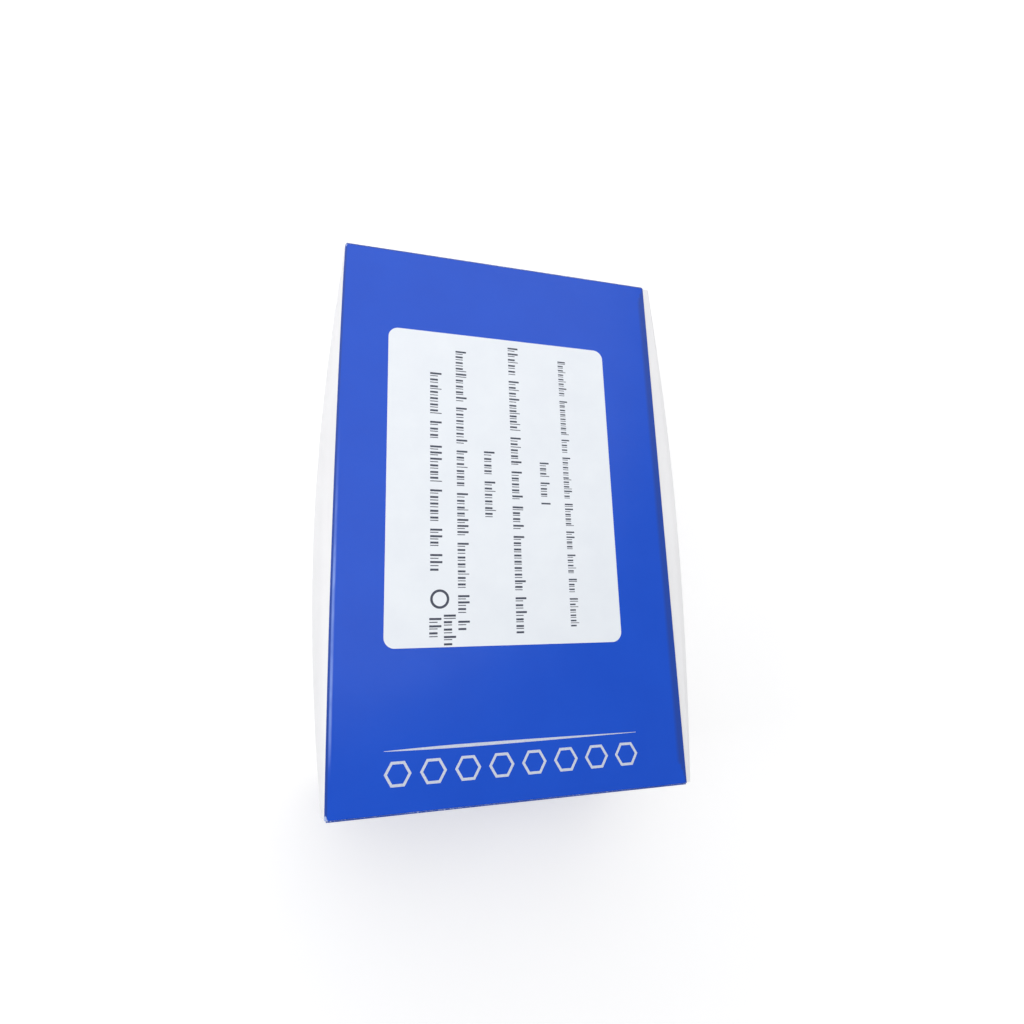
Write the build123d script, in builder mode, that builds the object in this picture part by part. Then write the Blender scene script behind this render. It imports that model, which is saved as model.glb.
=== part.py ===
from build123d import *

import os
from math import sin, sqrt

# A closed tuck-end folding carton for a kit of tests: 25 sealed pouches, 25 vials and a leaflet.
# It lies on its back panel. X runs across the carton, Y along it and Z up, in millimetres.
# The origin is on the ground under the middle of the carton. The near end is at -Y.

# Carton sheet
carton_width = 120.0
carton_length = 189.0
carton_depth = 70.0
board = 0.5
fold_radius = 1.0
end_fold_radius = 0.4

# The carton is overfull, so the long folds bow outward at mid length. The right ones are drawn in at the ends
left_fold_bow = 0.9
right_fold_bow = 1.2
right_fold_near_inset = 1.8
right_fold_far_inset = 0.4

# How far the side panels stand out beyond their folds: near end, mid length and far end
left_bulge_near = 1.8
left_bulge = 6.7
left_bulge_far = 0.7
right_bulge_near = 3.2
right_bulge = 6.4
right_bulge_far = 2.2

# How far from its folds a side panel starts to stand out, and stands out fully
shoulder_start = 2.0
shoulder_end = 6.0

# Glued lap: the front panel ends in a cut edge, short of the fold beside it
cut_edge_setback = 3.0
lap_width = 15.0
lap_end_taper = 7.0

# Dust flaps, folded in from the side panels at each end
dust_flap_reach = 48.0
dust_flap_taper = 10.0
dust_flap_corner = 5.0
dust_flap_lift = 2.6
dust_flap_drop = 1.2

# Lids: a closure panel and a tuck flap that is curved about the lid's hinge line, so it draws straight out
lid_gap = 0.06
lid_side_clearance = 0.3
tuck_length = 16.0
tuck_clearance = 0.15
tuck_side_clearance = 2.5
tuck_corner = 9.0

# Half-moon cuts in the back panel, where a thumb lifts the tuck flaps
thumb_cut_width = 20.0
thumb_cut_depth = 6.0

# Label on the front panel
label_width = 81.0
label_length = 110.0
label_thickness = 0.12
label_corner = 3.5
label_x = -4.0
label_y = 8.3

# Sealed pouches, standing on edge across the carton
pouch_count = 25
pouch_length = 112.0
pouch_height = 62.0
pouch_pitch = 5.1
pouch_film = 0.4
pouch_seal = 7.0
pouch_swell = 4.8
swell_length = 73.0
swell_height = 28.0
pouch_corner = 2.0
tear_notch = 2.0
tear_notch_inset = 12.0

# Leaflet, a sheet folded to and fro
leaflet_length = 108.0
leaflet_height = 60.0
leaflet_layers = 6
leaflet_layer = 0.3
leaflet_pitch = 0.42

# Vials, standing in rows across the carton
vial_count = 25
vials_per_row = 9
vial_pitch = 12.9
vial_radius = 6.2
vial_neck_radius = 4.2
vial_cap_radius = 5.3
vial_cap_top_radius = 4.6
vial_body_height = 40.0
vial_shoulder_height = 4.0
vial_cap_height = 17.0

# Room between the contents, and between them and the carton
contents_clearance = 0.1

# Places that follow from the sizes above
half_width = carton_width / 2
half_length = carton_length / 2
sleeve_end = half_length - board - lid_gap
inside_end = sleeve_end - board
tuck_radius = carton_depth - board - tuck_clearance
tuck_turn = tuck_length / tuck_radius
front_edge_x = half_width - cut_edge_setback
lid_width = half_width + front_edge_x - 2 * lid_side_clearance
lid_middle_x = (front_edge_x - half_width) / 2
tuck_width = lid_width - 2 * tuck_side_clearance
ceiling = carton_depth - 2 * board
flap_top = ceiling - dust_flap_drop
pouch_start = -inside_end + contents_clearance
leaflet_start = pouch_start + pouch_count * pouch_pitch
vial_start = leaflet_start + leaflet_layers * leaflet_pitch + contents_clearance

# A curve of degree five whose four inner points stand out by one reach stands out by this share of it
bulge_fullness = 15 / 16


def along(y, near, middle, far):
    """A size at y that has these values at the near end, mid length and the far end."""
    place = y / sleeve_end
    return middle + (far - near) / 2 * place + ((far + near) / 2 - middle) * place**2


def side_curve_points(side, y, top, inset):
    """Control points of a side panel's curve at y, from its upper fold down to its lower one."""
    if side < 0:
        bow = along(y, 0, left_fold_bow, 0)
        bulge = along(y, left_bulge_near, left_bulge, left_bulge_far)
    else:
        bow = along(y, -right_fold_near_inset, right_fold_bow, -right_fold_far_inset)
        bulge = along(y, right_bulge_near, right_bulge, right_bulge_far)
    edge = half_width + bow - inset
    reach = bulge / bulge_fullness
    levels = [
        top,
        top - shoulder_start,
        top - shoulder_end,
        inset + shoulder_end,
        inset + shoulder_start,
        inset,
    ]
    offsets = [0, reach, reach, reach, reach, 0]
    return [(side * (edge + offset), level) for offset, level in zip(offsets, levels)]


def sleeve_section(y, inset, step_x):
    """The sleeve's outline across the carton at y, inset from its outside, with the lap's step at step_x."""
    left_top = carton_depth - inset
    right_top = carton_depth - board - inset
    left = side_curve_points(-1, y, left_top, inset)
    right = side_curve_points(1, y, right_top, inset)
    with BuildSketch(Plane.XZ.offset(-y)) as section:
        with BuildLine():
            Bezier(*left)
            Line(left[0], (step_x, left_top))
            Line((step_x, left_top), (step_x, right_top))
            Line((step_x, right_top), right[0])
            Bezier(*right)
            Line(right[-1], left[-1])
        make_face()
    return section.sketch


def long_folds(part):
    """The four long folds of a sleeve: the edges along its whole length that lie furthest out."""
    long_edges = part.edges().filter_by(lambda edge: edge.length >= 2 * sleeve_end)
    return long_edges.sort_by(lambda edge: abs((edge @ 0.5).X))[-4:]


stations = [share * sleeve_end for share in (-1, -0.5, 0, 0.5, 1)]

# The room inside the sleeve, stepped down under the front panel by the lap
with BuildPart() as sleeve_space:
    loft([sleeve_section(y, board, half_width - lap_width) for y in stations])
    fillet(long_folds(sleeve_space), fold_radius - board)

# The sleeve's outside, filled
with BuildPart() as sleeve_block:
    loft([sleeve_section(y, 0, front_edge_x) for y in stations])
    fillet(long_folds(sleeve_block), fold_radius)

# Dust flaps, cut to the curve of the side panels that they fold from
with BuildPart() as dust_flaps:
    for end_plane in (Plane.XZ.offset(inside_end), Plane.XZ.offset(-sleeve_end)):
        root_x = half_width + max(left_bulge, right_bulge)
        tip_x = half_width - dust_flap_reach
        with BuildSketch(end_plane) as flaps:
            with BuildLine():
                Polyline(
                    (root_x, dust_flap_lift),
                    (tip_x + dust_flap_taper, dust_flap_lift),
                    (tip_x, dust_flap_lift + 2 * dust_flap_taper),
                    (tip_x, flap_top - dust_flap_taper),
                    (tip_x + dust_flap_taper, flap_top),
                    (root_x, flap_top),
                    close=True,
                )
            make_face()
            fillet(flaps.vertices().filter_by(lambda corner: corner.X < root_x), dust_flap_corner)
            mirror(about=Plane.YZ)
        extrude(amount=board)
    add(sleeve_block.part, mode=Mode.INTERSECT)

# The folded and glued sheet
with BuildPart() as carton_body:
    add(sleeve_block.part)
    add(sleeve_space.part, mode=Mode.SUBTRACT)
    add(dust_flaps.part)

    # The back panel runs on under the lids to the carton's full length
    back_width = 2 * (half_width - right_fold_near_inset - fold_radius)
    with BuildSketch():
        Rectangle(back_width, carton_length)
        Rectangle(back_width, 2 * inside_end, mode=Mode.SUBTRACT)
    extrude(amount=board)

    # Thumb cuts
    with BuildSketch():
        with Locations((lid_middle_x, -half_length), (lid_middle_x, half_length)):
            Ellipse(thumb_cut_width / 2, thumb_cut_depth)
    extrude(amount=board, mode=Mode.SUBTRACT)

    # The lap's two ends are cut back at a slant
    with BuildSketch(Plane.XY.offset(ceiling)):
        with BuildLine():
            Polyline(
                (half_width - lap_width, sleeve_end - lap_end_taper),
                (half_width - lap_width, sleeve_end),
                (front_edge_x, sleeve_end),
                close=True,
            )
        make_face()
        mirror(about=Plane.XZ)
    extrude(amount=board, mode=Mode.SUBTRACT)

carton_body.part.label = "carton_body"


def swing_point(end, outward, radius):
    """A point of a circle about a lid's hinge line, below that line and this far outward of it, as (Y, Z)."""
    return (end * (sleeve_end + outward), carton_depth - sqrt(radius**2 - outward**2))


def make_lid(end):
    """One end's lid, closed: the closure panel hangs from the front panel's fold, with the tuck flap inside."""
    inner_radius = tuck_radius - board
    outer_face = lid_gap + board
    inner_foot = swing_point(end, lid_gap, inner_radius)
    inner_middle = swing_point(end, -inner_radius * sin(tuck_turn / 2), inner_radius)
    inner_tip = swing_point(end, -inner_radius * sin(tuck_turn), inner_radius)
    outer_foot = swing_point(end, outer_face, tuck_radius)
    outer_middle = swing_point(end, -tuck_radius * sin(tuck_turn / 2), tuck_radius)
    outer_tip = swing_point(end, -tuck_radius * sin(tuck_turn), tuck_radius)
    inner_top = (inner_foot[0], carton_depth)
    outer_top = (outer_foot[0], carton_depth)
    with BuildPart() as lid:
        with BuildSketch(Plane.YZ.offset(lid_middle_x)) as section:
            with BuildLine():
                Polyline(inner_foot, inner_top, outer_top, outer_foot)
                ThreePointArc(outer_foot, outer_middle, outer_tip)
                Line(outer_tip, inner_tip)
                ThreePointArc(inner_tip, inner_middle, inner_foot)
            make_face()
            fillet(section.vertices().group_by(Axis.X)[-1 if end > 0 else 0], end_fold_radius)
        extrude(amount=lid_width / 2, both=True)

        # Seen from above, the tuck flap is narrower than the closure panel and has rounded corners
        with BuildSketch() as outline:
            with Locations((lid_middle_x, end * (half_length - board - tuck_length / 2))):
                Rectangle(tuck_width, tuck_length)
            fillet(outline.vertices().group_by(Axis.Y)[0 if end > 0 else -1], tuck_corner)
            with Locations((lid_middle_x, end * (half_length - board / 2))):
                Rectangle(lid_width, board)
        extrude(amount=carton_depth, mode=Mode.INTERSECT)
    return lid.part


near_lid = make_lid(-1)
near_lid.label = "near_lid"
far_lid = make_lid(1)
far_lid.label = "far_lid"

with BuildPart() as label:
    with BuildSketch(Plane.XY.offset(carton_depth)):
        with Locations((label_x, label_y)):
            RectangleRounded(label_width, label_length, label_corner)
    extrude(amount=label_thickness)
label.part.label = "label"


def floor_at(y):
    """The height that the contents rest on at y: the back panel, or a tuck flap where one lies on it."""
    inner_radius = tuck_radius - board
    from_hinge = sleeve_end - abs(y)
    if from_hinge > inner_radius * sin(tuck_turn):
        return board
    return carton_depth - sqrt(inner_radius**2 - from_hinge**2)


def make_pouch(middle_y):
    """A flat sealed pouch on edge, swollen on both faces by the test inside it, with two tear notches."""
    foot = floor_at(middle_y) + contents_clearance
    middle_z = foot + pouch_height / 2
    with BuildPart() as pouch:
        with BuildSketch(Plane.XZ.offset(-middle_y)) as film:
            with Locations((0, middle_z)):
                Rectangle(pouch_length, pouch_height)
            chamfer(film.vertices(), pouch_corner)
            notch_x = pouch_length / 2 - tear_notch_inset
            with Locations((notch_x, foot), (notch_x, foot + pouch_height)):
                RegularPolygon(tear_notch, 3, rotation=90, mode=Mode.SUBTRACT)
        extrude(amount=pouch_film / 2, both=True)
        for side in (-1, 1):
            face_y = middle_y + side * pouch_film / 2
            crown_y = middle_y + side * pouch_swell / 2
            with BuildSketch(Plane.XZ.offset(-face_y)) as base:
                with Locations((0, middle_z)):
                    Rectangle(pouch_length - 2 * pouch_seal, pouch_height - 2 * pouch_seal)
            with BuildSketch(Plane.XZ.offset(-crown_y)) as crown:
                with Locations((0, middle_z)):
                    Rectangle(swell_length, swell_height)
            loft()
    return pouch.part


pouches = []
for index in range(pouch_count):
    pouch = make_pouch(pouch_start + (index + 0.5) * pouch_pitch)
    pouch.label = f"foil_pouch_{index + 1:02d}"
    pouches.append(pouch)

# The leaflet's layers stand side by side and are joined by a round fold at the top or bottom in turn
with BuildPart() as package_insert:
    with BuildSketch(Plane.YZ) as layers:
        fold = leaflet_pitch / 2
        low = board + contents_clearance + fold + leaflet_layer / 2
        high = low + leaflet_height - 2 * fold - leaflet_layer
        with BuildLine():
            for index in range(leaflet_layers):
                y = leaflet_start + (index + 0.5) * leaflet_pitch
                Line((y, low), (y, high))
                if index < leaflet_layers - 1:
                    level = high if index % 2 == 0 else low
                    bend = fold if index % 2 == 0 else -fold
                    ThreePointArc((y, level), (y + fold, level + bend), (y + leaflet_pitch, level))
        trace(line_width=leaflet_layer)
    extrude(amount=leaflet_length / 2, both=True)
package_insert.part.label = "package_insert"


def make_vial(x, y):
    """A closed vial standing at x, y: body, sloped shoulder and tapered cap."""
    foot = floor_at(y + vial_radius) + contents_clearance
    shoulder = foot + vial_body_height
    neck = shoulder + vial_shoulder_height
    top = neck + vial_cap_height
    with BuildPart() as vial:
        with BuildSketch(Plane((x, y, 0), x_dir=(1, 0, 0), z_dir=(0, -1, 0))):
            with BuildLine():
                Polyline(
                    (0, foot),
                    (vial_radius, foot),
                    (vial_radius, shoulder),
                    (vial_neck_radius, neck),
                    (vial_cap_radius, neck),
                    (vial_cap_top_radius, top),
                    (0, top),
                    close=True,
                )
            make_face()
        revolve(axis=Axis((x, y, 0), (0, 0, 1)))
    return vial.part


vials = []
for index in range(vial_count):
    row, column = divmod(index, vials_per_row)
    x = (column - (vials_per_row - 1) / 2) * vial_pitch
    y = vial_start + (row + 0.5) * vial_pitch
    vial = make_vial(x, y)
    vial.label = f"buffer_vial_{index + 1:02d}"
    vials.append(vial)

os.makedirs("parts", exist_ok=True)
pieces = [carton_body.part, near_lid, far_lid, label.part, package_insert.part, *pouches, *vials]
for piece in pieces:
    export_step(piece, f"parts/{piece.label}.step")
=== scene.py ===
import math
import random

import bmesh
import bpy
import numpy as np
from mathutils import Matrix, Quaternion, Vector, noise


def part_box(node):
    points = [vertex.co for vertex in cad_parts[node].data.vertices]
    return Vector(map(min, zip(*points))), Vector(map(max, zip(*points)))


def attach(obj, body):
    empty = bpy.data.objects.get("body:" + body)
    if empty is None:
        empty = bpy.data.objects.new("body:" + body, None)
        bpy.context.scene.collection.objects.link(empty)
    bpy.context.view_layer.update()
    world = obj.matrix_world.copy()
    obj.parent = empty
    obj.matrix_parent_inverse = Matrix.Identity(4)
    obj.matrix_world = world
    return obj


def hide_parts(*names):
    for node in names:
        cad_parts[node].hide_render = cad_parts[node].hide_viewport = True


# A closed tuck-end folding carton: blue print, a white label, bulged white side panels.
# Shapes are worked out in millimetres in the frame's own axes, and turned into metres when a mesh is made.
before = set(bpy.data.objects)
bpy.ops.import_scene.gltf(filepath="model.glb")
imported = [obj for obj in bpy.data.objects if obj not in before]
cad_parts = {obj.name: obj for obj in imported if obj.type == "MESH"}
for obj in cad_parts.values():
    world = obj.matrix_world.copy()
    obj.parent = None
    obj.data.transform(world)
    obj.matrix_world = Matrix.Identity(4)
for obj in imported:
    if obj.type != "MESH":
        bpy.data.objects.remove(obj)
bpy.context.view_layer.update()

MM = 0.001

# Sizes that the carton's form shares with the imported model, in millimetres
CARTON_WIDTH = 120.0
CARTON_LENGTH = 189.0
CARTON_DEPTH = 70.0
BOARD = 0.5
FOLD_RADIUS = 1.0
LEFT_FOLD_BOW = 0.9
RIGHT_FOLD_BOW = 1.2
RIGHT_FOLD_NEAR_INSET = 1.8
RIGHT_FOLD_FAR_INSET = 0.4
LEFT_BULGE_NEAR, LEFT_BULGE, LEFT_BULGE_FAR = 1.8, 6.7, 0.7
RIGHT_BULGE_NEAR, RIGHT_BULGE, RIGHT_BULGE_FAR = 3.2, 6.4, 2.2
SHOULDER_START = 2.0
SHOULDER_END = 6.0
CUT_EDGE_SETBACK = 3.0
LAP_WIDTH = 15.0
LAP_END_TAPER = 7.0
DUST_FLAP_REACH = 48.0
DUST_FLAP_TAPER = 10.0
DUST_FLAP_LIFT = 2.6
DUST_FLAP_DROP = 1.2
LID_GAP = 0.06
LID_SIDE_CLEARANCE = 0.3
THUMB_CUT_WIDTH = 20.0
THUMB_CUT_DEPTH = 6.0
# The share of its control points' reach that a side panel's curve comes to at mid height
FULLNESS = 15 / 16

HALF_WIDTH = CARTON_WIDTH / 2
HALF_LENGTH = CARTON_LENGTH / 2
SLEEVE_END = HALF_LENGTH - BOARD - LID_GAP
INSIDE_END = SLEEVE_END - BOARD
FRONT_EDGE_X = HALF_WIDTH - CUT_EDGE_SETBACK
LAP_EDGE_X = HALF_WIDTH - LAP_WIDTH
LID_MIDDLE_X = -CUT_EDGE_SETBACK / 2
LID_HALF_WIDTH = (HALF_WIDTH + FRONT_EDGE_X) / 2 - LID_SIDE_CLEARANCE
FLAP_TOP = CARTON_DEPTH - 2 * BOARD - DUST_FLAP_DROP
FLAP_TIP_X = HALF_WIDTH - DUST_FLAP_REACH


# Camera: it looks down from above the carton's left edge

def add_camera():
    camera = bpy.data.objects.new("camera", bpy.data.cameras.new("camera"))
    bpy.context.scene.collection.objects.link(camera)
    camera.data.sensor_width = 36.0
    camera.data.lens = 20.755
    camera.data.clip_start = 0.005
    camera.location = Vector((-57.95, -47.08, 260.93)) * MM
    camera.rotation_mode = "QUATERNION"
    camera.rotation_quaternion = Quaternion(Vector((0.22651, -0.28198, 0.00077)))
    bpy.context.scene.camera = camera


add_camera()


# Materials

class Nodes:
    """A material's node tree, with short calls to add and join nodes."""

    def __init__(self, name):
        self.material = bpy.data.materials.new(name)
        self.material.use_nodes = True
        self.tree = self.material.node_tree
        self.shader = self.tree.nodes["Principled BSDF"]
        self.place = self.add("ShaderNodeTexCoord").outputs["Object"]

    def add(self, kind, **values):
        node = self.tree.nodes.new(kind)
        for key, value in values.items():
            if key in node.inputs:
                node.inputs[key].default_value = value
            else:
                setattr(node, key, value)
        return node

    def join(self, source, target):
        self.tree.links.new(source, target)

    def noise(self, scale, detail, roughness=0.55, stretch=(1, 1, 1)):
        """Noise over the object's own place; scale is in waves a metre."""
        mapping = self.add("ShaderNodeMapping")
        mapping.inputs["Scale"].default_value = stretch
        self.join(self.place, mapping.inputs["Vector"])
        node = self.add("ShaderNodeTexNoise", Scale=scale, Detail=detail, Roughness=roughness)
        self.join(mapping.outputs["Vector"], node.inputs["Vector"])
        return node.outputs["Fac"]

    def ramp(self, source, stops):
        """A colour ramp with stops of (place, colour or grey level)."""
        node = self.add("ShaderNodeValToRGB")
        elements = node.color_ramp.elements
        while len(elements) < len(stops):
            elements.new(0.5)
        for element, (place, colour) in zip(elements, stops):
            element.position = place
            element.color = colour if isinstance(colour, tuple) else (colour, colour, colour, 1)
        self.join(source, node.inputs["Fac"])
        return node.outputs["Color"]

    def mix(self, share, first, second):
        """Colours mixed by a share; each may be a socket or a colour."""
        node = self.add("ShaderNodeMix", data_type="RGBA")
        for socket, value in ((node.inputs[0], share), (node.inputs[6], first), (node.inputs[7], second)):
            if isinstance(value, bpy.types.NodeSocket):
                self.join(value, socket)
            else:
                socket.default_value = value
        return node.outputs[2]

    def math(self, operation, first, second):
        node = self.add("ShaderNodeMath", operation=operation)
        for socket, value in zip(node.inputs, (first, second)):
            if isinstance(value, bpy.types.NodeSocket):
                self.join(value, socket)
            else:
                socket.default_value = value
        return node.outputs[0]

    def share(self, value, start, end):
        """How far a value has come from start to end, 0 to 1, eased at both."""
        node = self.add("ShaderNodeMapRange", interpolation_type="SMOOTHSTEP")
        node.inputs["From Min"].default_value = start
        node.inputs["From Max"].default_value = end
        self.join(value, node.inputs["Value"])
        return node.outputs["Result"]

    def axes(self):
        """The X, Y and Z of the place."""
        node = self.add("ShaderNodeSeparateXYZ")
        self.join(self.place, node.inputs[0])
        return node.outputs

    def attribute(self, name):
        return self.add("ShaderNodeAttribute", attribute_name=name).outputs["Fac"]

    def bump(self, height, distance, after=None):
        """A bump of this height in metres, on top of another one if that is given."""
        node = self.add("ShaderNodeBump", Distance=distance, Strength=1.0)
        self.join(height, node.inputs["Height"])
        if after:
            self.join(after, node.inputs["Normal"])
        return node.outputs["Normal"]

    def finish(self, colour, roughness, normal=None, **values):
        """The finished material; colour, roughness and normal may be sockets or plain values."""
        for key, value in values.items():
            self.shader.inputs[key].default_value = value
        for key, value in (("Base Color", colour), ("Roughness", roughness), ("Normal", normal)):
            if isinstance(value, bpy.types.NodeSocket):
                self.join(value, self.shader.inputs[key])
            elif value is not None:
                self.shader.inputs[key].default_value = value
        return self.material


def srgb(red, green, blue):
    """A colour given as it looks on a screen, 0 to 255, as shader values."""
    def linear(level):
        share = level / 255
        return share / 12.92 if share <= 0.04045 else ((share + 0.055) / 1.055) ** 2.4

    return (linear(red), linear(green), linear(blue), 1.0)


def wear_share(nodes, amount):
    """Where the ink has cracked at a fold: the mesh's wear broken up by fine noise."""
    broken = nodes.noise(2600, detail=5, roughness=0.7, stretch=(1, 0.35, 1))
    patches = nodes.math("MULTIPLY", nodes.noise(45, detail=2), 0.5)
    level = nodes.math("MULTIPLY", nodes.attribute("wear"), nodes.math("ADD", broken, patches))
    return nodes.ramp(level, [(amount, 0.0), (amount + 0.12, 1.0)])


# How far from the print's edges its painted shade and painted highlight are worked out, in millimetres
EDGE_RANGE = 3.0


def printed_board():
    """Blue ink under a gloss laminate: painted shade along its folds and edges, a painted highlight by the
    left fold, cracked in spots.
    """
    nodes = Nodes("printed_board")
    mottle = nodes.noise(60, detail=6)
    ink = nodes.ramp(mottle, [(0.3, srgb(6, 77, 204)), (0.7, srgb(9, 80, 208))])
    from_edge = nodes.math("DIVIDE", nodes.attribute("from_edge"), EDGE_RANGE)
    # Painted shade: the ink darkens within a millimetre of its folds and cut edges, where the board turns away
    # from the light.
    painted_edge_shade = nodes.ramp(from_edge, [(0.45 / EDGE_RANGE, 0.55), (0.8 / EDGE_RANGE, 0.0)])
    ink = nodes.mix(painted_edge_shade, ink, srgb(38, 62, 128))
    # Painted highlight: a pale streaky band on the left fold's rounding, over part of its length, stands in
    # for a lamp's reflection there.
    x, y, _ = nodes.axes()
    highlight_band = [(0.5, 0.0), (0.75, 1.0), (1.1, 1.0), (1.6, 0.0)]
    painted_fold_highlight = nodes.ramp(from_edge, [(place / EDGE_RANGE, level) for place, level in highlight_band])
    for place, start, end in ((x, 0.0, -0.03), (y, -0.085, -0.07), (y, 0.03, -0.03)):
        painted_fold_highlight = nodes.math("MULTIPLY", painted_fold_highlight, nodes.share(place, start, end))
    streaks = nodes.ramp(nodes.noise(260, detail=4, stretch=(1, 0.25, 1)), [(0.35, 0.25), (0.65, 0.85)])
    ink = nodes.mix(nodes.math("MULTIPLY", painted_fold_highlight, streaks), ink, srgb(138, 166, 240))
    # Cracked ink at folds and corners, shown pale blue; along the left fold and at the corners these spots
    # also stand in as painted glints.
    colour = nodes.mix(wear_share(nodes, 0.62), ink, srgb(176, 194, 236))
    smudge = nodes.noise(25, detail=5, roughness=0.65)
    scratches = nodes.noise(900, detail=3, stretch=(1, 0.08, 1))
    smudge, scratches = nodes.math("MULTIPLY", smudge, 0.12), nodes.math("MULTIPLY", scratches, 0.04)
    roughness = nodes.math("ADD", smudge, scratches)
    waves = nodes.bump(nodes.noise(14, detail=2), 0.0006)
    normal = nodes.bump(nodes.noise(1500, detail=3), 0.00001, after=waves)
    gloss = {"Specular IOR Level": 0.35, "Coat Weight": 0.05, "Coat Roughness": 0.1}
    return nodes.finish(colour, nodes.math("ADD", roughness, 0.16), normal, **gloss)


def white_board():
    """White coated board: the side panels, the back panel and the lap."""
    nodes = Nodes("white_board")
    tone = nodes.noise(40, detail=5)
    colour = nodes.ramp(tone, [(0.1, srgb(237, 237, 239)), (0.9, srgb(246, 246, 248))])
    colour = nodes.mix(wear_share(nodes, 0.8), colour, srgb(228, 227, 224))
    roughness = nodes.math("ADD", nodes.math("MULTIPLY", nodes.noise(30, detail=3), 0.1), 0.4)
    waves = nodes.bump(nodes.noise(16, detail=0), 0.0005)
    normal = nodes.bump(nodes.noise(1300, detail=3), 0.00001, after=waves)
    return nodes.finish(colour, roughness, normal, **{"Coat Weight": 0.08, "Coat Roughness": 0.4})


def cut_board():
    """The board's cut edges: pale fibre."""
    nodes = Nodes("cut_board")
    fibres = nodes.noise(3500, detail=4, stretch=(1, 1, 0.4))
    colour = nodes.ramp(fibres, [(0.3, srgb(214, 211, 203)), (0.7, srgb(240, 238, 233))])
    return nodes.finish(colour, 0.85, nodes.bump(fibres, 0.00005))


def inside_board():
    """The board's uncoated back, grey-white with short fibres and specks."""
    nodes = Nodes("inside_board")
    tone = nodes.noise(90, detail=7, roughness=0.7)
    colour = nodes.ramp(tone, [(0.15, srgb(211, 209, 203)), (0.85, srgb(229, 227, 222))])
    specks = nodes.ramp(nodes.noise(1300, detail=1), [(0.72, 0.0), (0.78, 0.45)])
    colour = nodes.mix(specks, colour, srgb(172, 165, 154))
    fibres = nodes.noise(1800, detail=4, stretch=(1, 0.3, 1))
    return nodes.finish(colour, 0.8, nodes.bump(fibres, 0.00006))


def label_paper():
    """The label's coated paper, with faint fibre and a soft gloss."""
    nodes = Nodes("label_paper")
    tone = nodes.noise(80, detail=6)
    colour = nodes.ramp(tone, [(0.3, srgb(236, 241, 248)), (0.7, srgb(241, 246, 252))])
    roughness = nodes.math("ADD", nodes.math("MULTIPLY", nodes.noise(50, detail=4), 0.15), 0.3)
    streaks = nodes.noise(1400, detail=3, stretch=(1, 0.12, 1))
    gloss = {"Coat Weight": 0.1, "Coat Roughness": 0.25}
    return nodes.finish(colour, roughness, nodes.bump(streaks, 0.00002), **gloss)


def label_ink():
    """Dark print on the label."""
    nodes = Nodes("label_ink")
    tone = nodes.noise(2500, detail=3)
    colour = nodes.ramp(tone, [(0.35, srgb(52, 57, 74)), (0.75, srgb(74, 80, 100))])
    return nodes.finish(colour, 0.45, nodes.bump(tone, 0.00001))


def pale_ink():
    """Pale print on the front panel."""
    nodes = Nodes("pale_ink")
    tone = nodes.noise(1600, detail=3)
    colour = nodes.ramp(tone, [(0.3, srgb(196, 204, 222)), (0.7, srgb(216, 222, 236))])
    gloss = {"Coat Weight": 0.35, "Coat Roughness": 0.12}
    return nodes.finish(colour, 0.3, nodes.bump(tone, 0.00001), **gloss)


def pouch_foil():
    """Laminated foil: satin aluminium with fine creases."""
    nodes = Nodes("pouch_foil")
    tone = nodes.noise(90, detail=3)
    colour = nodes.ramp(tone, [(0.1, srgb(204, 206, 210)), (0.9, srgb(220, 221, 224))])
    roughness = nodes.math("ADD", nodes.math("MULTIPLY", nodes.noise(900, detail=3), 0.08), 0.28)
    creases = nodes.bump(nodes.noise(240, detail=4, stretch=(1, 1, 0.35)), 0.00025)
    normal = nodes.bump(nodes.noise(4000, detail=2), 0.00001, after=creases)
    return nodes.finish(colour, roughness, normal, Metallic=0.9)


def vial_plastic():
    """Natural, slightly cloudy plastic of the vials' bodies."""
    nodes = Nodes("vial_plastic")
    cloud = nodes.noise(160, detail=4)
    colour = nodes.ramp(cloud, [(0.3, srgb(222, 228, 230)), (0.7, srgb(236, 240, 240))])
    depth = {"Transmission Weight": 0.35, "IOR": 1.5, "Subsurface Weight": 0.15, "Subsurface Scale": 0.002}
    return nodes.finish(colour, 0.32, nodes.bump(nodes.noise(700, detail=3), 0.00002), **depth)


def cap_plastic():
    """White moulded plastic of the vials' caps."""
    nodes = Nodes("cap_plastic")
    colour = nodes.ramp(nodes.noise(200, detail=4), [(0.3, srgb(228, 229, 228)), (0.7, srgb(240, 240, 238))])
    return nodes.finish(colour, 0.38, nodes.bump(nodes.noise(1500, detail=2), 0.00001))


def leaflet_paper():
    """Thin uncoated paper, with faint show-through of grey print in lines."""
    nodes = Nodes("leaflet_paper")
    fibres = nodes.noise(900, detail=5)
    colour = nodes.ramp(fibres, [(0.3, srgb(228, 227, 222)), (0.7, srgb(242, 241, 238))])
    lines = nodes.add("ShaderNodeTexWave", wave_type="BANDS", bands_direction="Z", Scale=75.0, Distortion=0.0)
    nodes.join(nodes.place, lines.inputs["Vector"])
    words = nodes.ramp(nodes.noise(330, detail=1, stretch=(1, 1, 0.2)), [(0.42, 0.0), (0.46, 1.0)])
    rows = nodes.ramp(lines.outputs["Fac"], [(0.55, 0.0), (0.65, 0.45)])
    print_share = nodes.math("MULTIPLY", words, rows)
    colour = nodes.mix(print_share, colour, srgb(120, 122, 128))
    return nodes.finish(colour, 0.75, nodes.bump(fibres, 0.00003))


PRINTED, WHITE, CUT, INSIDE = range(4)
board_materials = [printed_board(), white_board(), cut_board(), inside_board()]


# Mesh helpers

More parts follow.
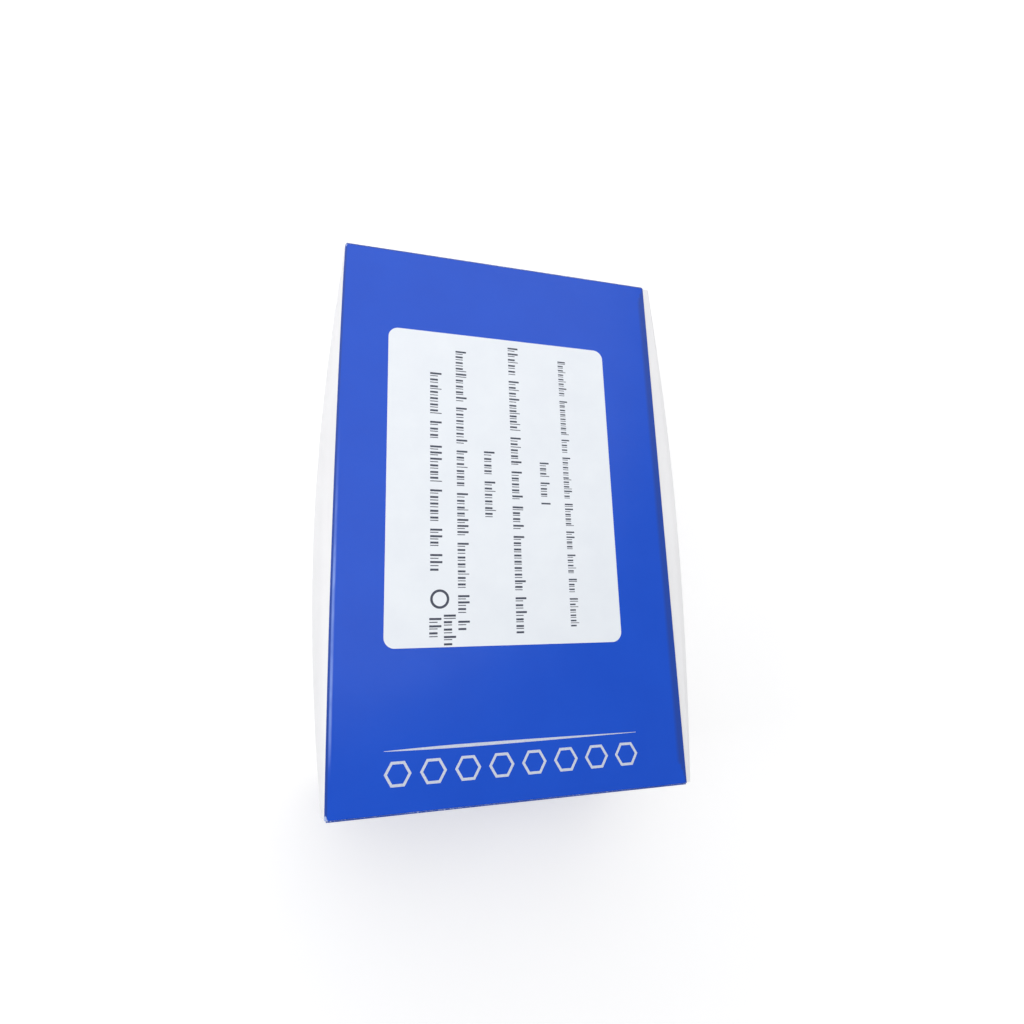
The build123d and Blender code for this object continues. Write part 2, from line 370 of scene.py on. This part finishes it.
def add_piece(name, vertices, faces, materials, face_materials=None, body="carton", smooth_angle=35):
    """A piece from points in millimetres, smooth but for edges sharper than smooth_angle degrees."""
    mesh = bpy.data.meshes.new(name)
    mesh.from_pydata([tuple(c * MM for c in point) for point in vertices], [], faces)
    for material in materials:
        mesh.materials.append(material)
    if face_materials is not None:
        mesh.polygons.foreach_set("material_index", face_materials)
    piece = bpy.data.objects.new(name, mesh)
    bpy.context.scene.collection.objects.link(piece)
    tidy_mesh(piece, smooth_angle)
    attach(piece, body)
    return piece


def tidy_mesh(piece, smooth_angle=35):
    """Joins double points, turns every face outward and sets which edges look sharp."""
    shape = bmesh.new()
    shape.from_mesh(piece.data)
    bmesh.ops.remove_doubles(shape, verts=shape.verts, dist=0.002 * MM)
    bmesh.ops.recalc_face_normals(shape, faces=shape.faces)
    for face in shape.faces:
        face.smooth = True
    for edge in shape.edges:
        if len(edge.link_faces) == 2:
            edge.smooth = edge.calc_face_angle() < math.radians(smooth_angle)
    shape.to_mesh(piece.data)
    shape.free()


def set_values(piece, name, value_at, most=1.0):
    """Stores a value, from 0 to most, at each point, worked out from its place in millimetres."""
    attribute = piece.data.attributes.new(name, "FLOAT", "POINT")
    places = [vertex.co / MM for vertex in piece.data.vertices]
    attribute.data.foreach_set("value", [min(max(value_at(place), 0.0), most) for place in places])


# The carton's sheet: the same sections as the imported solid, on a fine grid

def along(y, near, middle, far):
    """A size at y that has these values at the near end, mid length and the far end."""
    place = y / SLEEVE_END
    return middle + (far - near) / 2 * place + ((far + near) / 2 - middle) * place**2


def side_curve(side, y, inset, shares):
    """Points (x, z) of a side panel's curve at y, from its upper fold down to its lower one."""
    if side < 0:
        bow = along(y, 0, LEFT_FOLD_BOW, 0)
        bulge = along(y, LEFT_BULGE_NEAR, LEFT_BULGE, LEFT_BULGE_FAR)
    else:
        bow = along(y, -RIGHT_FOLD_NEAR_INSET, RIGHT_FOLD_BOW, -RIGHT_FOLD_FAR_INSET)
        bulge = along(y, RIGHT_BULGE_NEAR, RIGHT_BULGE, RIGHT_BULGE_FAR)
    edge = HALF_WIDTH + bow - inset
    reach = bulge / FULLNESS
    top = CARTON_DEPTH - inset - (BOARD if side > 0 else 0)
    upper = (top, top - SHOULDER_START, top - SHOULDER_END)
    levels = (*upper, inset + SHOULDER_END, inset + SHOULDER_START, inset)
    offsets = (0, reach, reach, reach, reach, 0)
    points = []
    for share in shares:
        weights = [math.comb(5, k) * share**k * (1 - share) ** (5 - k) for k in range(6)]
        x = side * (edge + sum(w * o for w, o in zip(weights, offsets)))
        points.append((x, sum(w * level for w, level in zip(weights, levels))))
    return points


def rounded_corner(corner, toward_first, toward_last, radius, steps):
    """Points of a fold's rounding at a corner, from the side of one neighbour to the side of the other."""
    corner = Vector(corner)
    first = (Vector(toward_first) - corner).normalized()
    last = (Vector(toward_last) - corner).normalized()
    turn = math.pi - first.angle(last)
    back = radius * math.tan(turn / 2)
    start, end = corner + first * back, corner + last * back
    weight = math.cos(turn / 2)
    points = []
    for step in range(steps + 1):
        t = step / steps
        low, mid, high = (1 - t) ** 2, 2 * t * (1 - t) * weight, t**2
        points.append(tuple((start * low + corner * mid + end * high) / (low + mid + high)))
    return points


# How finely the sheet is drawn: steps round a fold, points down a side panel, columns across the front panel
CORNER_STEPS = 8
END_STEPS = 4
FLAP_STEPS = 12
SIDE_SHARES = 40
FRONT_COLUMNS = (-58.4, -57.6, -56.0, -52.0, -40.0, -20.0, 0.0, 20.0, 40.0)


def share_at_level(level, side):
    """The share of the way along a side panel's inner curve at which it has this height."""
    low, high = 0.0, 1.0
    for _ in range(40):
        middle = (low + high) / 2
        if side_curve(side, 0, BOARD, [middle])[0][1] > level:
            low = middle
        else:
            high = middle
    return low


def side_shares(side):
    """Shares at which a side panel is sampled, the levels of its dust flaps' ends among them."""
    ends = [share_at_level(FLAP_TOP, side), share_at_level(DUST_FLAP_LIFT, side)]
    inner = np.linspace(ends[0], ends[1], SIDE_SHARES)
    outer = [ends[0] * 0.5, ends[1] + (1 - ends[1]) * 0.5]
    return [outer[0], *inner, outer[1]]


LEFT_SHARES, RIGHT_SHARES = side_shares(-1), side_shares(1)

# The back panel's columns, with those of the thumb cuts among them
BACK_EDGE_X = HALF_WIDTH - RIGHT_FOLD_NEAR_INSET - FOLD_RADIUS
cut_turns = np.linspace(-1, 1, 21) * math.pi / 2
cut_columns = [LID_MIDDLE_X + THUMB_CUT_WIDTH / 2 * math.sin(turn) for turn in cut_turns]
BACK_COLUMNS = [-BACK_EDGE_X, -45.0, -30.0, -18.0, *cut_columns, 18.0, 30.0, 45.0, BACK_EDGE_X]


def panel_end(x):
    """How far along Y the back panel runs at x: to the carton's end, less the thumb cut."""
    across = (x - LID_MIDDLE_X) / (THUMB_CUT_WIDTH / 2)
    if abs(across) >= 1:
        return HALF_LENGTH
    return HALF_LENGTH - THUMB_CUT_DEPTH * math.sqrt(1 - across**2)


def sheet_section(y, inset):
    """The sheet's outline at y as (x, z, run, kind): run is its column's length, kind names its stretch."""
    left = side_curve(-1, y, inset, LEFT_SHARES)
    right = side_curve(1, y, inset, RIGHT_SHARES)
    left_ends = side_curve(-1, y, inset, [0, 1])
    right_ends = side_curve(1, y, inset, [0, 1])
    radius = FOLD_RADIUS - inset
    top = CARTON_DEPTH - inset
    taper = max(0.0, (abs(y) - SLEEVE_END + LAP_END_TAPER) / LAP_END_TAPER)
    lap_x = LAP_EDGE_X + (FRONT_EDGE_X - 0.3 - LAP_EDGE_X) * taper
    section = []

    def put(points, kind):
        section.extend((x, z, SLEEVE_END, kind) for x, z in points)

    put(rounded_corner(left_ends[0], left[0], (0, top), radius, CORNER_STEPS), "left_fold")
    put([(x, top) for x in FRONT_COLUMNS], "front")
    # The inner face steps down where the lap starts, and the outer face where the front panel ends
    lap_z = top - BOARD
    front_edge = FRONT_EDGE_X
    if inset:
        put([(lap_x, top), (lap_x, lap_z), (front_edge - 0.1, lap_z), (front_edge, lap_z)], "front")
    else:
        put([(lap_x - 0.1, top), (lap_x, top), (front_edge, top), (front_edge, lap_z)], "front")
    put(rounded_corner(right_ends[0], (0, right_ends[0][1]), right[0], radius, CORNER_STEPS), "right_fold")
    put(right, "right")
    put(rounded_corner(right_ends[1], right[-1], (0, inset), radius, CORNER_STEPS), "low_fold")
    section.extend((x, inset, panel_end(x), "back") for x in reversed(BACK_COLUMNS))
    put(rounded_corner(left_ends[1], (0, inset), left[-1], radius, CORNER_STEPS), "low_fold")
    put(list(reversed(left)), "left")
    return section


def flap_tip(level):
    """A dust flap's tip, as its distance from the carton's middle, at this height."""
    low, high = DUST_FLAP_LIFT, FLAP_TOP
    slant = max(0.0, 1 - (level - low) / (2 * DUST_FLAP_TAPER))
    drop = max(0.0, 1 - (high - level) / DUST_FLAP_TAPER)
    back = math.sqrt(slant**2 + 0.02) - 0.141 + math.sqrt(drop**2 + 0.02) - 0.141
    return FLAP_TIP_X + DUST_FLAP_TAPER * back


def sheet_stations():
    """Places along Y as (y, share): share is how far a dust flap's fold has rounded the outer face inward."""
    stations = [(y, 0.0) for y in np.linspace(-INSIDE_END, INSIDE_END, 97)]
    for back in (BOARD + 0.5, BOARD + 1.1, LAP_END_TAPER):
        stations += [(end * (SLEEVE_END - back), 0.0) for end in (-1, 1)]
    for step in range(1, END_STEPS + 1):
        turn = math.pi / 2 * step / END_STEPS
        stations += [(end * (INSIDE_END + BOARD * math.sin(turn)), 1 - math.cos(turn)) for end in (-1, 1)]
    return sorted(stations)


def make_sheet():
    """The folded and glued sheet with its dust flaps, as one closed mesh."""
    stations = sheet_stations()
    kinds = [point[3] for point in sheet_section(0, 0)]
    count, last = len(kinds), len(stations) - 1
    first_of = {kind: kinds.index(kind) for kind in ("left_fold", "right", "left")}
    front_edge_column = first_of["left_fold"] + CORNER_STEPS + 1 + len(FRONT_COLUMNS) + 2
    flap_columns = {
        1: range(first_of["right"] + 1, first_of["right"] + 1 + SIDE_SHARES),
        -1: range(first_of["left"] + 1, first_of["left"] + 1 + SIDE_SHARES),
    }
    in_flap = {column for columns in flap_columns.values() for column in columns}
    in_flap_cell = {column for columns in flap_columns.values() for column in columns[:-1]}

    vertices, outer, inner = [], [], []
    for y, share in stations:
        rows = [sheet_section(y, inset) for inset in (0.0, BOARD)]
        for layer, row in zip((outer, inner), rows):
            layer.append(range(len(vertices), len(vertices) + count))
            for column, (x, z, run, _) in enumerate(row):
                if layer is outer and column in in_flap:
                    x += (rows[1][column][0] - x) * share
                    z += (rows[1][column][1] - z) * share
                vertices.append((x, y * run / SLEEVE_END, z))
    faces, finishes = [], []

    def face(corners, finish):
        faces.append(corners)
        finishes.append(finish)

    def outer_finish(column):
        if column < front_edge_column:
            return PRINTED if column > 1 else WHITE
        return CUT if column == front_edge_column else WHITE

    for station in range(last):
        for column in range(count):
            beside = (column + 1) % count
            a, b = outer[station][column], outer[station][beside]
            c, d = outer[station + 1][beside], outer[station + 1][column]
            face((a, b, c, d), outer_finish(column))
            if column in in_flap_cell and not END_STEPS <= station < last - END_STEPS:
                continue
            a, b = inner[station][column], inner[station][beside]
            c, d = inner[station + 1][beside], inner[station + 1][column]
            face((d, c, b, a), INSIDE)
    for station in (0, last):
        for column in set(range(count)) - in_flap_cell:
            beside = (column + 1) % count
            a, b = outer[station][column], outer[station][beside]
            c, d = inner[station][beside], inner[station][column]
            # The front panel runs on into the lid at its end fold, so no cut edge shows there
            face((a, b, c, d), PRINTED if column < front_edge_column else CUT)

    # Each dust flap grows out of its side panel's inner face, over the last board thickness of its length
    for end, within in ((0, END_STEPS), (last, last - END_STEPS)):
        for side, columns in flap_columns.items():
            rows = {end: [], within: []}
            for column in columns:
                for at in rows:
                    root = vertices[inner[at][column]]
                    tip_x = side * flap_tip(root[2])
                    row = [inner[at][column]]
                    for step in range(1, FLAP_STEPS + 1):
                        row.append(len(vertices))
                        x = root[0] + (tip_x - root[0]) * step / FLAP_STEPS
                        vertices.append((x, root[1], root[2]))
                    rows[at].append(row)
            front, back = rows[end], rows[within]
            for i in range(len(columns) - 1):
                for k in range(FLAP_STEPS):
                    face((front[i][k], front[i][k + 1], front[i + 1][k + 1], front[i + 1][k]), WHITE)
                    face((back[i][k], back[i + 1][k], back[i + 1][k + 1], back[i][k + 1]), INSIDE)
                face((front[i][-1], back[i][-1], back[i + 1][-1], front[i + 1][-1]), CUT)
            toward_end = 1 if end > within else -1
            for i in (0, len(columns) - 1):
                between = [inner[at][columns[i]] for at in range(within + toward_end, end, toward_end)]
                face((front[i][0], front[i][1], back[i][1], back[i][0], *between), CUT)
                for k in range(1, FLAP_STEPS):
                    face((front[i][k], front[i][k + 1], back[i][k + 1], back[i][k]), CUT)

    sheet = add_piece("carton_sheet", vertices, faces, board_materials, finishes)
    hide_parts("carton_body")
    return sheet


def sheet_wear(place):
    """Wear is strongest at the corners, then along the folds and the front panel's ends and cut edge."""
    x, y, z = place
    to_end = SLEEVE_END - abs(y)
    to_top = CARTON_DEPTH - z
    left_fold = math.exp(-((x + HALF_WIDTH + along(y, 0, LEFT_FOLD_BOW, 0)) ** 2 + to_top**2) / 0.9)
    end_fold = math.exp(-max(to_end, 0) / 0.3) * math.exp(-to_top / 0.5)
    corner = math.exp(-(to_end**2 + (abs(x) - HALF_WIDTH) ** 2 + to_top**2) / 1.6)
    # The left fold's share also places pale spots on the printed board that stand in as painted glints.
    return 0.66 * left_fold + 0.3 * end_fold + 0.5 * corner


def from_print_edge(place):
    """How far a place on the front panel is from its folds and its cut edge."""
    x, y, z = place
    if z < CARTON_DEPTH - 1:
        return 0.0
    return min(x + HALF_WIDTH + along(y, 0, LEFT_FOLD_BOW, 0), FRONT_EDGE_X - x)


carton_sheet = make_sheet()
set_values(carton_sheet, "wear", sheet_wear)
set_values(carton_sheet, "from_edge", from_print_edge, most=EDGE_RANGE)


# Lids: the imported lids' own form, with a finish for each face

# A lid's downward faces below the first level are the tuck flap's outside, and below the second its foot
TUCK_LEVEL, FOOT_LEVEL = 20.0, 3.0


def make_lid(node, end):
    """A lid: printed outside, bare inside and cut along its sides and its foot."""
    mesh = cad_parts[node].data.copy()
    mesh.materials.clear()
    for material in board_materials:
        mesh.materials.append(material)
    lid = bpy.data.objects.new(node.replace("lid", "lid_board"), mesh)
    bpy.context.scene.collection.objects.link(lid)
    tidy_mesh(lid)
    for face in lid.data.polygons:
        outward = face.normal.y * end
        near_outside = abs(face.center.y) > (HALF_LENGTH - BOARD - 0.01) * MM
        if abs(face.normal.x) > 0.7:
            face.material_index = CUT
        elif near_outside and (outward > 0.1 or face.normal.z > 0.5):
            face.material_index = PRINTED
        elif face.normal.z < -0.5:
            face.material_index = PRINTED if face.center.z < TUCK_LEVEL * MM else INSIDE
        elif outward < -0.97 and face.center.z < FOOT_LEVEL * MM:
            face.material_index = CUT
        else:
            face.material_index = INSIDE
    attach(lid, node)
    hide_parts(node)
    return lid


def lid_wear(place):
    """Wear along a lid's fold, most at the fold's two ends."""
    x, _, z = place
    to_top = CARTON_DEPTH - z
    to_side = abs(LID_HALF_WIDTH - abs(x - LID_MIDDLE_X))
    return 0.3 * math.exp(-to_top / 0.4) + 0.5 * math.exp(-to_side / 0.5) * math.exp(-to_top / 1.5)


def from_lid_edge(place):
    """How far a place on a lid is from the middle of its fold, and from its cut side edges."""
    x, y, z = place
    to_side = LID_HALF_WIDTH - abs(x - LID_MIDDLE_X)
    return min(CARTON_DEPTH - z + (HALF_LENGTH - abs(y)) * 2, to_side + 0.3)


for node, end in (("near_lid", -1), ("far_lid", 1)):
    lid = make_lid(node, end)
    set_values(lid, "wear", lid_wear)
    set_values(lid, "from_edge", from_lid_edge, most=EDGE_RANGE)


# Label and print

def give_material(node, material):
    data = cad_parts[node].data
    data.materials.clear()
    data.materials.append(material)


give_material("label", label_paper())


def add_plates(name, outlines, low, height, material):
    """Thin closed plates with these outlines, all in one piece."""
    vertices, faces = [], []
    for outline in outlines:
        start, count = len(vertices), len(outline)
        vertices.extend((x, y, low) for x, y in outline)
        vertices.extend((x, y, low + height) for x, y in outline)
        faces.append(tuple(start + k for k in reversed(range(count))))
        faces.append(tuple(start + count + k for k in range(count)))
        for k in range(count):
            beside = (k + 1) % count
            faces.append((start + k, start + beside, start + count + beside, start + count + k))
    return add_piece(name, vertices, faces, [material])


def from_far_left(across, down):
    """A place on the front panel, given from its far left corner in millimetres, as x and y."""
    return -HALF_WIDTH + across, HALF_LENGTH - down


# A line of print is upright strokes in uneven words, and runs along the carton with its top to the right.
# Each line: how far its foot is from the left, where it starts and ends from the far end, and its full height
LABEL_LINES = [
    (30.0, 46.9, 117.4, 4.0),
    (39.1, 37.7, 136.8, 3.8),
    (48.8, 74.9, 98.6, 3.8),
    (58.6, 34.1, 137.9, 3.8),
    (69.2, 77.8, 93.3, 3.4),
    (78.0, 37.5, 136.0, 3.0),
]
# Two short lines beside the label's ring
LABEL_LINES += [(29.7, 132.0, 138.8, 3.9), (34.4, 131.0, 141.0, 3.9)]
THICK_STROKE, THIN_STROKE = 0.17, 0.075
STROKE_PITCH = (0.25, 0.34)
LOW_STROKE = 0.68
WORD_SPACE = 0.45
PRINT_HEIGHT = 0.02


def rectangle(left, right, near, far):
    return [(left, near), (right, near), (right, far), (left, far)]


def line_strokes(line, chance):
    """A line's strokes as outlines: words of thick and thin strokes by turns, some of full height."""
    foot, start, end, height = line
    outlines = []
    place = start
    while True:
        for stroke in range(chance.randint(3, 9) * 2):
            width = height * (THIN_STROKE if stroke % 2 else THICK_STROKE)
            if place + width > end:
                return outlines
            tall = 1.0 if stroke == 0 or chance.random() < 0.18 else LOW_STROKE
            left, far = from_far_left(foot, place)
            outlines.append(rectangle(left, left + height * tall, far - width, far))
            place += height * chance.uniform(*STROKE_PITCH)
        place += height * WORD_SPACE


chance = random.Random(5)
label_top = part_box("label")[1].z / MM
label_strokes = [outline for line in LABEL_LINES for outline in line_strokes(line, chance)]
label_dark = label_ink()
add_plates("label_print", label_strokes, label_top, PRINT_HEIGHT, label_dark)

# On the front panel, a plain rule that narrows towards both ends, and a row of plain hexagons beside it
RULE_START, RULE_END, RULE_DOWN, RULE_WIDTH = 16.2, 99.4, 171.0, 0.95
RULE_WIDEST, RULE_STEPS = 0.3, 40
HEXAGON_COUNT, HEXAGON_PITCH, HEXAGON_DOWN = 8, 10.7, 177.6
HEXAGON_RADIUS, HEXAGON_STROKE = 4.1, 0.8
RING_RADIUS, RING_STROKE, RING_SIDES = 3.1, 0.8, 64
RING_ACROSS, RING_DOWN = 33.1, 126.0


def add_rings(name, rings, low, height, material):
    """Flat closed rings, each an outer outline and an inner one with as many points, all in one piece."""
    vertices, faces = [], []
    for outer, inner in rings:
        start, count = len(vertices), len(outer)
        for level in (low, low + height):
            for outline in (outer, inner):
                vertices.extend((x, y, level) for x, y in outline)
        for k in range(count):
            beside = (k + 1) % count
            for a, b in ((0, 1), (1, 3), (3, 2), (2, 0)):
                corners = (a * count + k, a * count + beside, b * count + beside, b * count + k)
                faces.append(tuple(start + corner for corner in corners))
    return add_piece(name, vertices, faces, [material])


def polygon(centre, radius, sides):
    """An even-sided outline, its first corner on the side of the X axis."""
    angles = [math.radians(360 * corner / sides) for corner in range(sides)]
    return [(centre[0] + radius * math.cos(angle), centre[1] + radius * math.sin(angle)) for angle in angles]


def ring(centre, radius, stroke, sides):
    """A ring's outer and inner outline, its stroke measured square to the sides."""
    inner = radius - stroke / math.cos(math.pi / sides)
    return polygon(centre, radius, sides), polygon(centre, inner, sides)


def tapered_rule(start, end, down, width, widest):
    """An outline along X that is widest at this share of its length and narrows smoothly to its ends."""
    upper, lower = [], []
    for step in range(RULE_STEPS + 1):
        share = step / RULE_STEPS
        rise = share / widest if share < widest else (1 - share) / (1 - widest)
        half = width / 2 * (0.12 + 0.88 * math.sin(rise * math.pi / 2))
        x, y = from_far_left(start + (end - start) * share, down)
        upper.append((x, y + half))
        lower.append((x, y - half))
    return lower + upper[::-1]


pale = pale_ink()
rule = tapered_rule(RULE_START, RULE_END, RULE_DOWN, RULE_WIDTH, RULE_WIDEST)
add_plates("front_rule", [rule], CARTON_DEPTH, PRINT_HEIGHT, pale)
hexagons = []
for index in range(HEXAGON_COUNT):
    across = (RULE_START + RULE_END) / 2 + (index - (HEXAGON_COUNT - 1) / 2) * HEXAGON_PITCH
    hexagons.append(ring(from_far_left(across, HEXAGON_DOWN), HEXAGON_RADIUS, HEXAGON_STROKE, 6))
add_rings("front_shapes", hexagons, CARTON_DEPTH, PRINT_HEIGHT, pale)
label_ring = ring(from_far_left(RING_ACROSS, RING_DOWN), RING_RADIUS, RING_STROKE, RING_SIDES)
add_rings("label_figure", [label_ring], label_top, PRINT_HEIGHT, label_dark)


# Contents

POUCH_COUNT = VIAL_COUNT = 25
SEAL_WIDTH, FILM_THICKNESS = 7.0, 0.4
NOTCH_FROM_SIDE, NOTCH_DEPTH, NOTCH_HALF_WIDTH = 12.0, 3.0, 1.7
CRIMP_HEIGHT, CRIMP_WAVES = 0.06, 4.2
SHOULDER_HEIGHT, NECK_HEIGHT = 40.0, 44.0
RIB_DEPTH, VIAL_TURNS = 0.12, 60


def make_pouch(node, index, material):
    """A foil pouch: crimped seals round a swollen middle, with two tear notches."""
    low, high = (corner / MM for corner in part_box(node))
    middle = (low + high) / 2
    half_x, half_z = (high.x - low.x) / 2, (high.z - low.z) / 2
    half_y = (high.y - low.y) / 2
    swell = half_y - 0.15
    notch_x = half_x - NOTCH_FROM_SIDE
    notch_columns = [notch_x - NOTCH_HALF_WIDTH, notch_x, notch_x + NOTCH_HALF_WIDTH]
    columns = sorted([*np.linspace(-half_x, half_x, 64), *notch_columns])
    levels = np.linspace(-1, 1, 40)
    vertices, faces = [], []

    def thickness(x, z):
        inside_x = max(0.0, 1 - (abs(x) / (half_x - SEAL_WIDTH)) ** 4)
        inside_z = max(0.0, 1 - (abs(z) / (half_z - SEAL_WIDTH)) ** 3)
        puff = (swell - FILM_THICKNESS / 2) * (inside_x * inside_z) ** 0.6
        wrinkle = noise.noise(Vector((x * 0.11, z * 0.13, index * 3.7))) * 0.35 * (1 - inside_x * inside_z)
        crimp = CRIMP_HEIGHT * math.sin(x * CRIMP_WAVES) if abs(z) > half_z - SEAL_WIDTH + 0.6 else 0.0
        crimp += CRIMP_HEIGHT * math.sin(z * CRIMP_WAVES) if abs(x) > half_x - SEAL_WIDTH + 0.6 else 0.0
        return FILM_THICKNESS / 2 + max(0.0, puff + wrinkle * min(1.0, puff * 2)) + 0.03 + crimp * 0.5

    for face_side in (-1, 1):
        for x in columns:
            notch_depth = NOTCH_DEPTH * max(0.0, 1 - abs(x - notch_x) / NOTCH_HALF_WIDTH)
            for level in levels:
                z = level * half_z
                if abs(level) == 1:
                    z -= math.copysign(notch_depth, level)
                y = middle.y + face_side * min(thickness(x, z), half_y)
                vertices.append((middle.x + x, y, middle.z + z))
    rows, count = len(levels), len(columns)

    def at(face_side, i, j):
        return face_side * rows * count + i * rows + j

    for i in range(count - 1):
        for j in range(rows - 1):
            faces.append((at(0, i, j), at(0, i + 1, j), at(0, i + 1, j + 1), at(0, i, j + 1)))
            faces.append((at(1, i, j), at(1, i, j + 1), at(1, i + 1, j + 1), at(1, i + 1, j)))
        for j in (0, rows - 1):
            faces.append((at(0, i, j), at(0, i + 1, j), at(1, i + 1, j), at(1, i, j)))
    for j in range(rows - 1):
        for i in (0, count - 1):
            faces.append((at(0, i, j), at(0, i, j + 1), at(1, i, j + 1), at(1, i, j)))
    pouch = add_piece(node.replace("pouch", "pouch_film"), vertices, faces, [material], smooth_angle=50)
    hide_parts(node)


foil = pouch_foil()
for index in range(POUCH_COUNT):
    make_pouch(f"foil_pouch_{index + 1:02d}", index, foil)


def make_vial(node, materials):
    """A vial turned about its axis: domed foot, sloped shoulder and a cap with grip ribs."""
    low, high = (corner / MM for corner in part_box(node))
    middle = (low + high) / 2
    radius = (high.x - low.x) / 2
    foot, top = low.z, high.z
    shoulder, neck = foot + SHOULDER_HEIGHT, foot + NECK_HEIGHT
    profile = [
        (0.0, foot + 0.8), (3.6, foot + 0.7), (4.6, foot + 0.1), (5.4, foot), (6.0, foot + 0.3),
        (radius, foot + 1.0), (radius, foot + 20), (radius, shoulder - 0.6), (radius - 0.4, shoulder + 0.3),
        (4.4, neck - 0.25), (4.2, neck), (5.2, neck + 0.05), (5.3, neck + 0.5), (5.25, neck + 1.6),
        (5.05, neck + 1.9), (4.75, top - 1.2), (4.6, top - 0.7), (4.1, top - 0.1), (3.6, top),
        (3.2, top - 0.3), (0.0, top - 0.35),
    ]
    # The body is the profile's first rows, and the ribs stand on two rows of the cap
    body_rows, ribbed = 10, range(14, 16)
    vertices, faces, finishes = [], [], []
    for row, (r, z) in enumerate(profile):
        for turn in range(VIAL_TURNS):
            angle = 2 * math.pi * turn / VIAL_TURNS
            reach = r - RIB_DEPTH if row in ribbed and turn % 2 else r
            vertices.append((middle.x + reach * math.cos(angle), middle.y + reach * math.sin(angle), z))
    for row in range(len(profile) - 1):
        start, above = row * VIAL_TURNS, (row + 1) * VIAL_TURNS
        for turn in range(VIAL_TURNS):
            beside = (turn + 1) % VIAL_TURNS
            faces.append((start + turn, start + beside, above + beside, above + turn))
            finishes.append(0 if row < body_rows else 1)
    vial = add_piece(node.replace("vial", "vial_shell"), vertices, faces, materials, finishes)
    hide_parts(node)


vial_materials = [vial_plastic(), cap_plastic()]
for index in range(VIAL_COUNT):
    make_vial(f"buffer_vial_{index + 1:02d}", vial_materials)

give_material("package_insert", leaflet_paper())


# Floor, lights and world

# How much white is added to what is seen of the floor, near the carton and far from it
NEAR_LIFT, FAR_LIFT = 0.3, 0.65
LIFT_START, LIFT_END = 0.15, 0.65
FLOOR_HALF_SIZE = 40.0
# The world's even light, and what is seen of it up to a slope at which it starts to fade
WORLD_LIGHT, BACKDROP_LIGHT = 0.45, 0.98
FADE_START, FADE_END = 0.5, 0.72


def seen_directly(nodes):
    """1 for what the camera sees, straight or through a mirror-like or clear surface."""
    path = nodes.add("ShaderNodeLightPath")
    seen = nodes.math("MAXIMUM", path.outputs["Is Camera Ray"], path.outputs["Is Glossy Ray"])
    return nodes.math("MAXIMUM", seen, path.outputs["Is Transmission Ray"])


def add_floor():
    """A wide pale floor that keeps the shadow and fades to white far out."""
    mesh = bpy.data.meshes.new("floor")
    size = FLOOR_HALF_SIZE
    corners = [(-size, -size, 0), (size, -size, 0), (size, size, 0), (-size, size, 0)]
    mesh.from_pydata(corners, [], [(0, 1, 2, 3)])
    floor = bpy.data.objects.new("floor", mesh)
    bpy.context.scene.collection.objects.link(floor)
    nodes = Nodes("floor_paint")
    tone = nodes.noise(6, detail=3)
    colour = nodes.ramp(tone, [(0.2, srgb(234, 234, 235)), (0.8, srgb(237, 237, 238))])
    material = nodes.finish(colour, 0.9)
    distance = nodes.add("ShaderNodeVectorMath", operation="LENGTH")
    nodes.join(nodes.place, distance.inputs[0])
    outward = nodes.share(distance.outputs["Value"], LIFT_START, LIFT_END)
    lift = nodes.math("ADD", nodes.math("MULTIPLY", outward, FAR_LIFT - NEAR_LIFT), NEAR_LIFT)
    nodes.shader.inputs["Emission Color"].default_value = (1.0, 1.0, 1.0, 1.0)
    nodes.join(nodes.math("MULTIPLY", seen_directly(nodes), lift), nodes.shader.inputs["Emission Strength"])
    mesh.materials.append(material)


def add_lamp(name, place, aim, size, power):
    lamp = bpy.data.objects.new(name, bpy.data.lights.new(name, "AREA"))
    lamp.data.shape = "DISK"
    lamp.data.size = size
    lamp.data.energy = power
    lamp.location = place
    lamp.rotation_mode = "QUATERNION"
    lamp.rotation_quaternion = (Vector(aim) - Vector(place)).to_track_quat("-Z", "Y")
    bpy.context.scene.collection.objects.link(lamp)


class WorldNodes(Nodes):
    """The world's node tree: the place in it is a direction."""

    def __init__(self):
        world = bpy.data.worlds.new("studio")
        bpy.context.scene.world = world
        world.use_nodes = True
        self.tree = world.node_tree
        self.background = self.tree.nodes["Background"]
        self.place = self.add("ShaderNodeTexCoord").outputs["Generated"]


def light_scene():
    """Plain even light, a white backdrop where a view looks level, and three soft lamps."""
    nodes = WorldNodes()
    low = nodes.share(nodes.axes()[2], FADE_END, FADE_START)
    seen_low = nodes.math("MULTIPLY", seen_directly(nodes), low)
    lift = nodes.math("MULTIPLY", seen_low, BACKDROP_LIGHT - WORLD_LIGHT)
    nodes.join(nodes.math("ADD", lift, WORLD_LIGHT), nodes.background.inputs["Strength"])
    nodes.background.inputs["Color"].default_value = (1.0, 1.0, 1.0, 1.0)
    add_lamp("key", (-0.1, 0.33, 0.7), (-0.01, 0.0, 0.05), 1.1, 3.1)
    add_lamp("left", (-0.5, -0.05, 0.34), (-0.03, 0.0, 0.05), 0.26, 0.75)
    add_lamp("right", (0.7, 0.1, 0.4), (0.04, 0.0, 0.05), 0.5, 0.9)


add_floor()
light_scene()
bpy.context.scene.view_settings.view_transform = "Standard"
